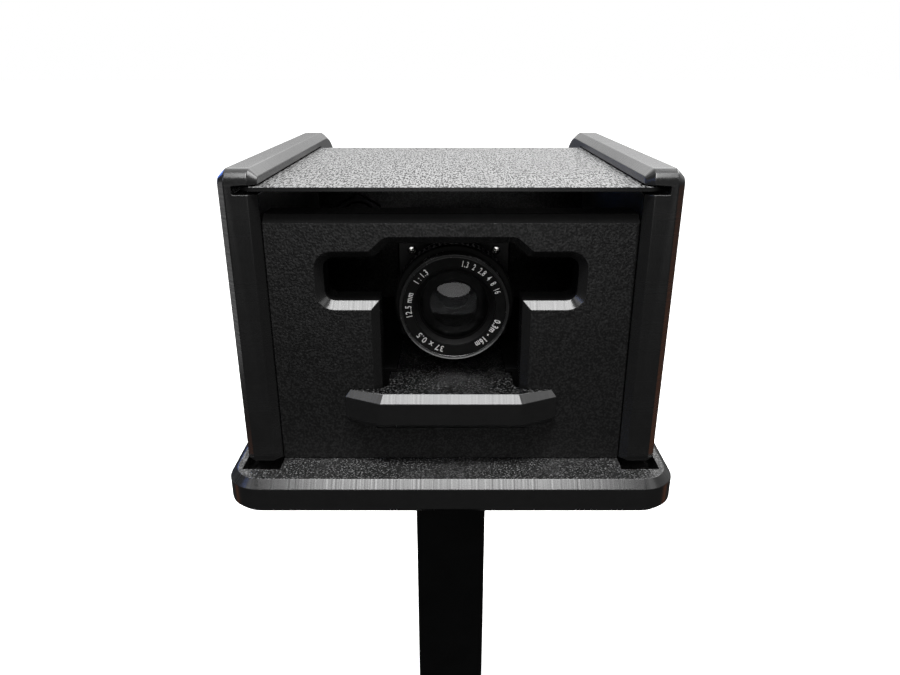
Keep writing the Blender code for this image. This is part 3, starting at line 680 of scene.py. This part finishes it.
IRIS_RIBS = 96
lens_ring("lens_iris_ring", [
    (17.7, 15.9), (19.7, 15.9), (20.15, 16.2), (20.2, 18.4), (20.2, 18.41), (20.2, 21.2),
    (20.2, 21.21), (19.8, 21.7), (17.7, 21.7),
], LENS_BLACK, "iris_ring", ["iris_ring"], IRIS_RIBS * 4,
    ribs(IRIS_RIBS, 0.35, 18.41, 21.2, 20.0), edge=0)

# Where the mount's thread starts, just ahead of the camera's front plate
MOUNT = (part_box("camera_front_plate")[0].y - RIM.y) / MM - 0.3
lens_ring("lens_rear_barrel", [
    (14.9, 9.4), (14.9, 14.0), (20.7, 14.0), (21.0, 14.3), (21.0, 15.3), (20.7, 15.6),
    (17.4, 15.6), (17.4, 22.0), (19.7, 22.0), (20.0, 22.3), (20.0, 23.6), (15.6, 25.4),
    (15.6, MOUNT), (12.4, MOUNT),
    (12.4, MOUNT + 0.6), (12.1, MOUNT + 0.8), (12.4, MOUNT + 1.0), (12.4, MOUNT + 1.4),
    (12.1, MOUNT + 1.6), (12.4, MOUNT + 1.8), (12.4, MOUNT + 2.2), (12.1, MOUNT + 2.4),
    (12.4, MOUNT + 2.6), (12.4, MOUNT + 3.5), (12.0, MOUNT + 3.9), (8.5, MOUNT + 3.9), (8.5, 21.0),
    (11.5, 21.0), (11.5, 9.4),
], LENS_BLACK, "tray", ["lens_barrel"], edge=0.06)
lens_ring("lens_rear_element", [
    (0, 23.2), *arc_points(0.6, 23.2, 8.2, 24.4, 0.15, 8), (8.2, 26.4),
    *reversed(arc_points(0.6, 27.8, 8.2, 26.4, -0.15, 8)), (0, 27.8),
], GLASS, "tray", ["rear_glass"], 72, edge=0)

# Steps inside the front barrel that keep stray light off the glass
lens_ring("lens_baffle", [
    (15.1, 8.5), (15.1, 9.0), (11.6, 9.0), (11.4, 8.8), (11.4, 8.7), (11.6, 8.5),
], BAFFLE, "front_group", edge=0)

# Aperture figures on the iris ring, with an index line beside them, and the distance scale
STOPS = ("1.3", "2", "2.8", "4", "5.6", "8", "11", "16")
stop_marks = [band_figures(stop, 20.2, 150 + 10 * i, 17.2) for i, stop in enumerate(STOPS)]
piece("iris_figures", joined(stop_marks), (WHITE,), "iris_ring", smooth=30.0)
DISTANCES = ("0.3", "0.5", "0.8", "1", "2", "5")
scale_marks = [
    band_figures(distance, 20.0, 140 + 17 * i, 4.2) for i, distance in enumerate(DISTANCES)
]
scale_marks += [band_tick(20.0, 140 + 8.5 * i, 5.2, 5.7, 0.18) for i in range(11)]
piece("distance_figures", joined(scale_marks), (WHITE,), "front_group", smooth=30.0)
index_line = band_tick(21.0, 180, 14.1, 15.5, 0.3)
piece("index_line", index_line, (WHITE,), "tray", smooth=30.0)

for number in range(1, 7):
    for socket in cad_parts[f"iris_blade_{number}"].material_slots:
        socket.material = BLADE


# Screws: each is turned and then cut with its drive


def drive_cutter(drive, size, depth):
    """The recess for a cross driver or hex key, from above the head's face at 0 down to -depth."""
    bm = bmesh.new()
    if drive == "hex":
        bmesh.ops.create_cone(bm, cap_ends=True, segments=6, radius1=size / 2, radius2=size / 2,
                              depth=depth + 1)
        bmesh.ops.translate(bm, verts=bm.verts, vec=(0, 0, 0.5 - depth / 2))
        return bm
    for turn in (0, math.pi / 2):
        made = bmesh.ops.create_cube(bm, size=1)["verts"]
        for v in made:
            v.co.x *= size * (0.55 if v.co.z < 0 else 1.0)
            v.co.y *= size * (0.16 if v.co.z < 0 else 0.24)
            v.co.z = 0.5 if v.co.z > 0 else -depth
        bmesh.ops.rotate(bm, verts=made, matrix=Matrix.Rotation(turn, 3, "Z"))
    return bm


def mesh_object(name, bm):
    """A bare object that no body carries."""
    mesh = bpy.data.meshes.new(name)
    bm.to_mesh(mesh)
    bm.free()
    obj = bpy.data.objects.new(name, mesh)
    bpy.context.scene.collection.objects.link(obj)
    return obj


def screw_shape(profile, drive, size, depth):
    """A screw about local Z, head up with its face at 0, in millimetres."""
    bm = lathe(profile, 48, Vector((0, 0, 0)), -Z)
    for v in bm.verts:
        v.co /= MM
    screw = mesh_object("screw", bm)
    cutter = mesh_object("cutter", drive_cutter(drive, size, depth))
    boolean = screw.modifiers.new("drive", "BOOLEAN")
    boolean.operation = "DIFFERENCE"
    boolean.solver = "EXACT"
    boolean.use_self = True
    boolean.object = cutter
    graph = bpy.context.evaluated_depsgraph_get()
    mesh = bpy.data.meshes.new_from_object(screw.evaluated_get(graph))
    bpy.data.objects.remove(screw)
    bpy.data.objects.remove(cutter)
    return mesh


def placed_screw(name, node, body, finish, mesh, rotation, place, edge):
    """A screw's mesh, turned and put with its head's face at place."""
    bm = bmesh.new()
    bm.from_mesh(mesh)
    bm.transform(Matrix.Translation(place) @ rotation @ Matrix.Scale(MM, 4))
    bmesh.ops.dissolve_limit(bm, angle_limit=FLAT_WITHIN, verts=bm.verts, edges=bm.edges)
    softened(piece(name, bm, (finish,), body, [node], 30.0), edge * MM)


def threaded(shank, start, end, pitch=0.8, depth=0.18):
    """A profile down a shank with thread-like grooves, ending on the axis."""
    points = []
    level = start
    while level + pitch < end - 0.4:
        points += [(shank, level), (shank - depth, level + pitch / 2)]
        level += pitch
    return points + [(shank, level), (shank, end - 0.4), (shank - 0.4, end), (0, end)]


HEAD_DOWN = Matrix.Rotation(math.pi, 4, "X")
HEAD_FORWARD = Matrix.Rotation(math.pi / 2, 4, "X")


def extent(node, axis=2):
    """A node's size along an axis, in millimetres."""
    low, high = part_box(node)
    return (high[axis] - low[axis]) / MM


def under(node):
    """The middle of a node's underside."""
    return Vector((*middle(node).xy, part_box(node)[0].z))


deck_screws = [f"wall_screw_{i}" for i in range(1, 5)]
deck_screws += [f"{end}_panel_screw_{i}" for end in ("front", "rear") for i in (1, 2)]
for node in deck_screws:
    mesh = screw_shape([
        (0, 0.15), (2.9, 0.1), (3.7, 0.05), (4.0, 0.3), (1.9, 2.35),
        *threaded(1.9, 3.2, extent(node)),
    ], "cross", 3.6, 1.7)
    placed_screw(f"{node}_cross", node, "housing", DARK, mesh, HEAD_DOWN,
                 under(node), 0.05)

for number in range(1, 5):
    node = f"flange_screw_{number}"
    mesh = screw_shape([
        (0, 0.0), (3.4, 0.0), (4.1, 0.25), (4.3, 0.6), (4.3, 4.0), (2.4, 4.0),
        *threaded(2.4, 5.0, extent(node)),
    ], "hex", 4.6, 2.4)
    placed_screw(f"{node}_hex", node, "housing", DARK, mesh, HEAD_DOWN,
                 under(node), 0.08)

    node = f"front_plate_screw_{number}"
    mesh = screw_shape([
        (0, 0.0), (1.4, 0.15), (1.68, 0.4), (1.8, 0.8), (1.8, 1.2), (0.9, 1.2),
        *threaded(0.9, 1.6, extent(node, 1), 0.45, 0.12),
    ], "cross", 1.9, 0.7)
    place = Vector((middle(node).x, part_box(node)[0].y, middle(node).z))
    placed_screw(f"{node}_pan", node, "tray", BRIGHT, mesh, HEAD_FORWARD,
                 place, 0.03)

mesh = screw_shape([
    (0, 0.0), (4.4, 0.0), (5.2, 0.6), (5.2, 4.6), (3.0, 4.6),
    *threaded(3.0, 5.6, extent("camera_screw"), 1.2, 0.3),
], "hex", 5.4, 2.8)
placed_screw("camera_screw_hex", "camera_screw", "tray", BRIGHT, mesh, HEAD_DOWN,
             under("camera_screw"), 0.1)


# The cable gland and its ribbed cap

GLAND = Vector((middle("cable_gland").x, 0, middle("cable_gland").z))
GLAND_START, GLAND_END = (corner.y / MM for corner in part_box("cable_gland"))
PANEL_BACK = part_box("rear_panel")[1].y / MM
COLLAR = PANEL_BACK + 4.0
COLLAR_ACROSS_FLATS = 17.8
GLAND_BORE = 3.6


def collar_flats(turn, radius, depth):
    """Makes the gland's collar, the only part of it beyond 9.5 mm, a hexagon."""
    if radius < 9.5:
        return 0.0
    share = (turn * 6) % 1 - 0.5
    return COLLAR_ACROSS_FLATS / 2 / math.cos(share * math.tau / 6) - radius


thread = []
level = GLAND_START + 0.5
while level + 1.0 < PANEL_BACK - 1.0:
    thread += [(7.9, level), (7.55, level + 0.5)]
    level += 1.0
gland = lathe([
    (GLAND_BORE, GLAND_START), (7.5, GLAND_START), *thread, (7.9, PANEL_BACK - 0.6),
    (7.9, PANEL_BACK + 0.3), (10.0, PANEL_BACK + 0.3), (10.0, COLLAR), (6.4, COLLAR),
    (6.4, GLAND_END), (GLAND_BORE, GLAND_END),
], 96, GLAND, Y, collar_flats)
gland_body = piece("gland_body", gland, (NYLON,), "housing", ["cable_gland"], 25.0)
softened(gland_body, 0.15 * MM)

CAP_START, CAP_END = (corner.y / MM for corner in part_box("gland_cap"))
CAP_RIBS = 18
cap = lathe([
    (6.7, CAP_START), (9.1, CAP_START), (9.4, CAP_START + 0.3), (9.4, CAP_START + 0.31),
    (9.4, CAP_END - 4.4), (9.4, CAP_END - 4.39), (8.6, CAP_END - 3.0), (7.6, CAP_END - 1.2),
    (6.4, CAP_END), (GLAND_BORE, CAP_END), (GLAND_BORE, GLAND_END + 0.3), (6.7, GLAND_END + 0.3),
], CAP_RIBS * 6, GLAND, Y, ribs(CAP_RIBS, 0.5, CAP_START + 0.31, CAP_END - 4.4, 9.3, 0.6))
piece("gland_cap_ribbed", cap, (NYLON,), "housing", ["gland_cap"], 30.0)


# The stand's feet and its welds

for number in range(1, 5):
    node = f"rubber_foot_{number}"
    pad_radius = extent(node, 0) / 2
    top = extent(node)
    foot = lathe([
        (0, 0.5), (4.0, 0.5), (4.3, 0.2), (pad_radius - 3.0, 0.0), (pad_radius - 2.6, 0.4),
        (pad_radius - 2.0, 0.4), (pad_radius - 1.6, 0.0), (pad_radius - 0.8, 0.0),
        (pad_radius, 0.8), (pad_radius, 3.4), (pad_radius - 0.5, 4.0), (3.0, 4.0), (3.0, top),
        (0, top),
    ], 64, under(node), Z)
    pad = piece(f"foot_pad_{number}", foot, (RUBBER,), "housing", [node], 30.0)
    softened(pad, 0.1 * MM)


WELD_SECTION = ((0.05, 0.0), (1.0, 0.0), (0.86, 0.36), (0.6, 0.66), (0.3, 0.92), (0.05, 1.05))


def weld_bead(name, level, up):
    """A bead of small overlapping ripples round the post, where it meets a plate."""
    half = extent("post", 0) / 2 * MM
    centre = middle("post")
    corner = 3.0 * MM
    path = []
    for quarter in range(4):
        spin = Matrix.Rotation(math.pi / 2 * quarter, 2)
        for i in range(40):
            t = -1 + 2 * i / 40
            path.append(spin @ Vector((half, t * (half - corner))))
        for i in range(8):
            turn = math.pi / 2 * i / 8
            round_x, round_y = corner * math.cos(turn), corner * math.sin(turn)
            path.append(spin @ Vector((half - corner + round_x, half - corner + round_y)))
    bm = bmesh.new()
    rings = []
    for i, point in enumerate(path):
        out = (path[(i + 1) % len(path)] - path[i - 1]).normalized()
        out = Vector((out.y, -out.x))
        swell = 1.0 + 0.16 * math.sin(i * math.pi / 2) + 0.06 * math.sin(i * 0.37)
        leg = 2.1 * MM * swell
        ring = []
        for reach, rise in WELD_SECTION:
            spot = centre.xy + point + out * reach * leg
            ring.append(bm.verts.new((*spot, level + up * rise * leg)))
        rings.append(ring)
    for here, there in zip(rings, rings[1:] + rings[:1]):
        for i in range(len(here)):
            bm.faces.new((here[i - 1], here[i], there[i], there[i - 1]))
    bmesh.ops.recalc_face_normals(bm, faces=bm.faces)
    piece(name, bm, (POWDER,), "housing", smooth=60.0)


weld_bead("weld_at_foot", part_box("foot_plate")[1].z + 0.05 * MM, 1)
weld_bead("weld_at_flange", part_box("post_flange")[0].z - 0.05 * MM, -1)


# The camera's connectors and its board

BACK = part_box("camera_rear_plate")[1].y / MM


def lug_ripple(turn, radius, depth):
    """Two bayonet lugs on the video socket's barrel."""
    from_lug = min((turn * 2) % 1, 1 - (turn * 2) % 1)
    if 4.7 < radius and BACK + 6.0 <= depth <= BACK + 7.6 and from_lug < 0.045:
        return 0.6
    return 0.0


def socket_piece(name, node, finish, ripple):
    """A round socket on the camera's back, with a pin in an insulator down its middle."""
    start, end = (corner.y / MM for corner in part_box(node))
    radius = extent(node, 0) / 2
    wall = radius - 1.2
    pin = 0.8
    insulator = pin + 1.4
    profile = [
        (0, start), (radius, start), (radius, BACK + 0.05), (radius, BACK + 1.2),
        (radius - 0.3, BACK + 1.3),
    ]
    if ripple:
        profile += [(radius, BACK + depth) for depth in (1.8, 5.99, 6.0, 7.6, 7.61)]
    profile += [
        (radius, end - 0.3), (radius - 0.3, end), (wall, end), (wall, BACK + 0.4),
        (insulator, BACK + 0.4), (insulator, end - 3.0), (pin, end - 3.0), (pin, end - 2.6),
        (pin - 0.3, end - 2.4), (0, end - 2.4),
    ]
    centre = Vector((middle(node).x, 0, middle(node).z))
    bm = lathe(profile, 96, centre, Y, ripple)
    softened(piece(name, bm, (finish,), "tray", [node], 30.0), 0.05 * MM)


socket_piece("video_socket", "video_connector", NICKEL, lug_ripple)
socket_piece("power_socket", "power_connector", CHIP, None)

ELECTRONICS = (
    ("board", "sensor_board", BOARD, "board"),
    ("sensor", "image_sensor", SILICON, "silicon"),
)
for name, node, finish, slot in ELECTRONICS:
    softened(piece(name, cad_shape(node), (finish,), "tray", [node]), 0.1 * MM)

# Chips on the back of the board, in mm: across and up from its middle, width and height
CHIPS = ((-8, 6, 9, 9), (6, 7, 7, 11), (-7, -8, 12, 5), (8, -8, 5, 5))
chips = []
for across, up, width, height in CHIPS:
    chip = bmesh.new()
    bmesh.ops.create_cube(chip, size=1)
    bmesh.ops.scale(chip, verts=chip.verts, vec=(width * MM, 1.5 * MM, height * MM))
    place = middle("sensor_board") + Vector((across, 0, up)) * MM
    place.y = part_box("sensor_board")[1].y + 0.8 * MM
    bmesh.ops.translate(chip, verts=chip.verts, vec=place)
    chips.append(chip)
softened(piece("board_chips", joined(chips), (CHIP,), "tray", smooth=30.0), 0.1 * MM)


# The stage: a pale floor, a pale surround, soft overhead and front lights, and small ones that only
# the edges mirror

FLOOR_SIDE = 60.0
BELOW_FEET = 0.2 * MM

floor_finish = Finish("pale_floor")
floor_tone = floor_finish.noise(floor_finish.coordinates(), 3.0, 3.0)
floor_finish.shade(
    Base_Color=floor_finish.ramp(floor_tone, (0.3, grey(0.78)), (0.7, grey(0.8))),
    Roughness=0.9,
    Emission_Color=(1, 1, 1, 1),
    Emission_Strength=0.9,
)
floor_mesh = bmesh.new()
bmesh.ops.create_grid(floor_mesh, x_segments=1, y_segments=1, size=FLOOR_SIDE / 2)
bmesh.ops.translate(floor_mesh, verts=floor_mesh.verts, vec=(0, 0, CAD_BOX[0].z - BELOW_FEET))
floor = mesh_object("floor", floor_mesh)
floor.data.materials.append(floor_finish.material)
floor.visible_glossy = False
floor.visible_diffuse = False


def surround():
    """A plain surround, white to the camera, that lights more from above and behind."""
    world = bpy.data.worlds.new("surround")
    world.use_nodes = True
    tree = world.node_tree
    tree.nodes.clear()
    place = tree.nodes.new("ShaderNodeTexCoord")
    toward = tree.nodes.new("ShaderNodeVectorMath")
    toward.operation = "DOT_PRODUCT"
    toward.inputs[1].default_value = (0.2, 0.58, 0.79)
    tree.links.new(place.outputs["Generated"], toward.inputs[0])
    level = tree.nodes.new("ShaderNodeMapRange")
    level.interpolation_type = "SMOOTHSTEP"
    for socket, value in (("From Min", 0.3), ("From Max", 1.0), ("To Min", 0.06), ("To Max", 1.9)):
        level.inputs[socket].default_value = value
    tree.links.new(toward.outputs["Value"], level.inputs["Value"])
    lit = tree.nodes.new("ShaderNodeBackground")
    tree.links.new(level.outputs["Result"], lit.inputs["Strength"])
    seen = tree.nodes.new("ShaderNodeBackground")
    seen.inputs["Color"].default_value = (1, 1, 1, 1)
    path = tree.nodes.new("ShaderNodeLightPath")
    mix = tree.nodes.new("ShaderNodeMixShader")
    out = tree.nodes.new("ShaderNodeOutputWorld")
    tree.links.new(path.outputs["Is Camera Ray"], mix.inputs["Fac"])
    tree.links.new(lit.outputs["Background"], mix.inputs[1])
    tree.links.new(seen.outputs["Background"], mix.inputs[2])
    tree.links.new(mix.outputs["Shader"], out.inputs["Surface"])
    bpy.context.scene.world = world


# What the lights face: a point behind the lens, well inside the housing
TARGET = DECK + Vector((0, 40, 40)) * MM
WARM, COOL, DEEP_BLUE = (1.0, 0.32, 0.12), (0.25, 0.4, 1.0), (0.11, 0.27, 1.0)


def softbox(name, direction, distance, size, watts, colour=(1, 1, 1), glossy=True, diffuse=True,
            shape="RECTANGLE"):
    """An area light that faces the target from a direction; size is its width and height."""
    light = bpy.data.lights.new(name, "AREA")
    light.shape = shape
    light.size, light.size_y = size
    light.energy = watts
    light.color = colour
    obj = bpy.data.objects.new(name, light)
    toward = Vector(direction).normalized()
    obj.location = TARGET + toward * distance
    obj.rotation_euler = toward.to_track_quat("Z", "Y").to_euler()
    obj.visible_glossy = glossy
    obj.visible_diffuse = diffuse
    obj.visible_camera = False
    bpy.context.scene.collection.objects.link(obj)


surround()

# Light that falls on surfaces but isn't mirrored
softbox("overhead", (0, -0.242, 0.97), 1.0, (0.42, 0.23), 30, glossy=False)
softbox("front_fill", (0, -0.87, 0.5), 0.9, (0.5, 0.36), 4.5, glossy=False)

# Panels that are only mirrored: direction, distance, size, watts, colour
WHITE_LIGHT = (1, 1, 1)
MIRRORED = {
    "edge_light": ((0, -0.36, 0.93), 1.0, (0.66, 0.64), 18.8, WHITE_LIGHT),
    "rim_light": ((0, 0.84, 0.54), 1.0, (0.9, 0.4), 1.3, WHITE_LIGHT),
    "lip_light_left": ((-0.68, -0.48, 0.56), 0.9, (0.3, 0.3), 0.64, WHITE_LIGHT),
    "lip_light_right": ((0.68, -0.48, 0.56), 0.9, (0.3, 0.3), 0.64, WHITE_LIGHT),
    "left_side": ((-0.93, 0.29, -0.13), 0.9, (0.25, 0.4), 0.25, WHITE_LIGHT),
    "corner_light": ((0.62, 0.35, 0.7), 0.9, (0.4, 0.4), 4.5, WHITE_LIGHT),
    "cool_corner": ((-0.66, 0.72, 0.12), 0.9, (0.25, 0.25), 1.0, DEEP_BLUE),
}
for name, settings in MIRRORED.items():
    softbox(name, *settings, diffuse=False)
softbox("front_glow", (0, -1, 0.06), 0.9, (0.64, 0.26), 0.6, diffuse=False, shape="ELLIPSE")

# Faint tints on the outer edges, as from lamps in a room
softbox("warm_right", (0.93, 0.13, -0.35), 0.7, (0.15, 0.5), 0.08, WARM)
softbox("warm_left", (-0.85, 0.1, -0.53), 0.7, (0.12, 0.12), 0.015, WARM)
softbox("cool_side", (-0.9, -0.3, 0.5), 0.9, (0.1, 0.1), 0.3, COOL)

camera = bpy.data.objects.new("camera", bpy.data.cameras.new("camera"))
camera.data.sensor_width = 36.0
camera.data.lens = 27.86
camera.data.clip_start = 0.01
camera.location = DECK + Vector((-0.33, -218.36, 132.0)) * MM
LOOKS_DOWN = 21.04
camera.rotation_euler = (math.radians(90 - LOOKS_DOWN), 0, 0)
bpy.context.scene.collection.objects.link(camera)
bpy.context.scene.camera = camera
bpy.context.scene.view_settings.view_transform = "Standard"
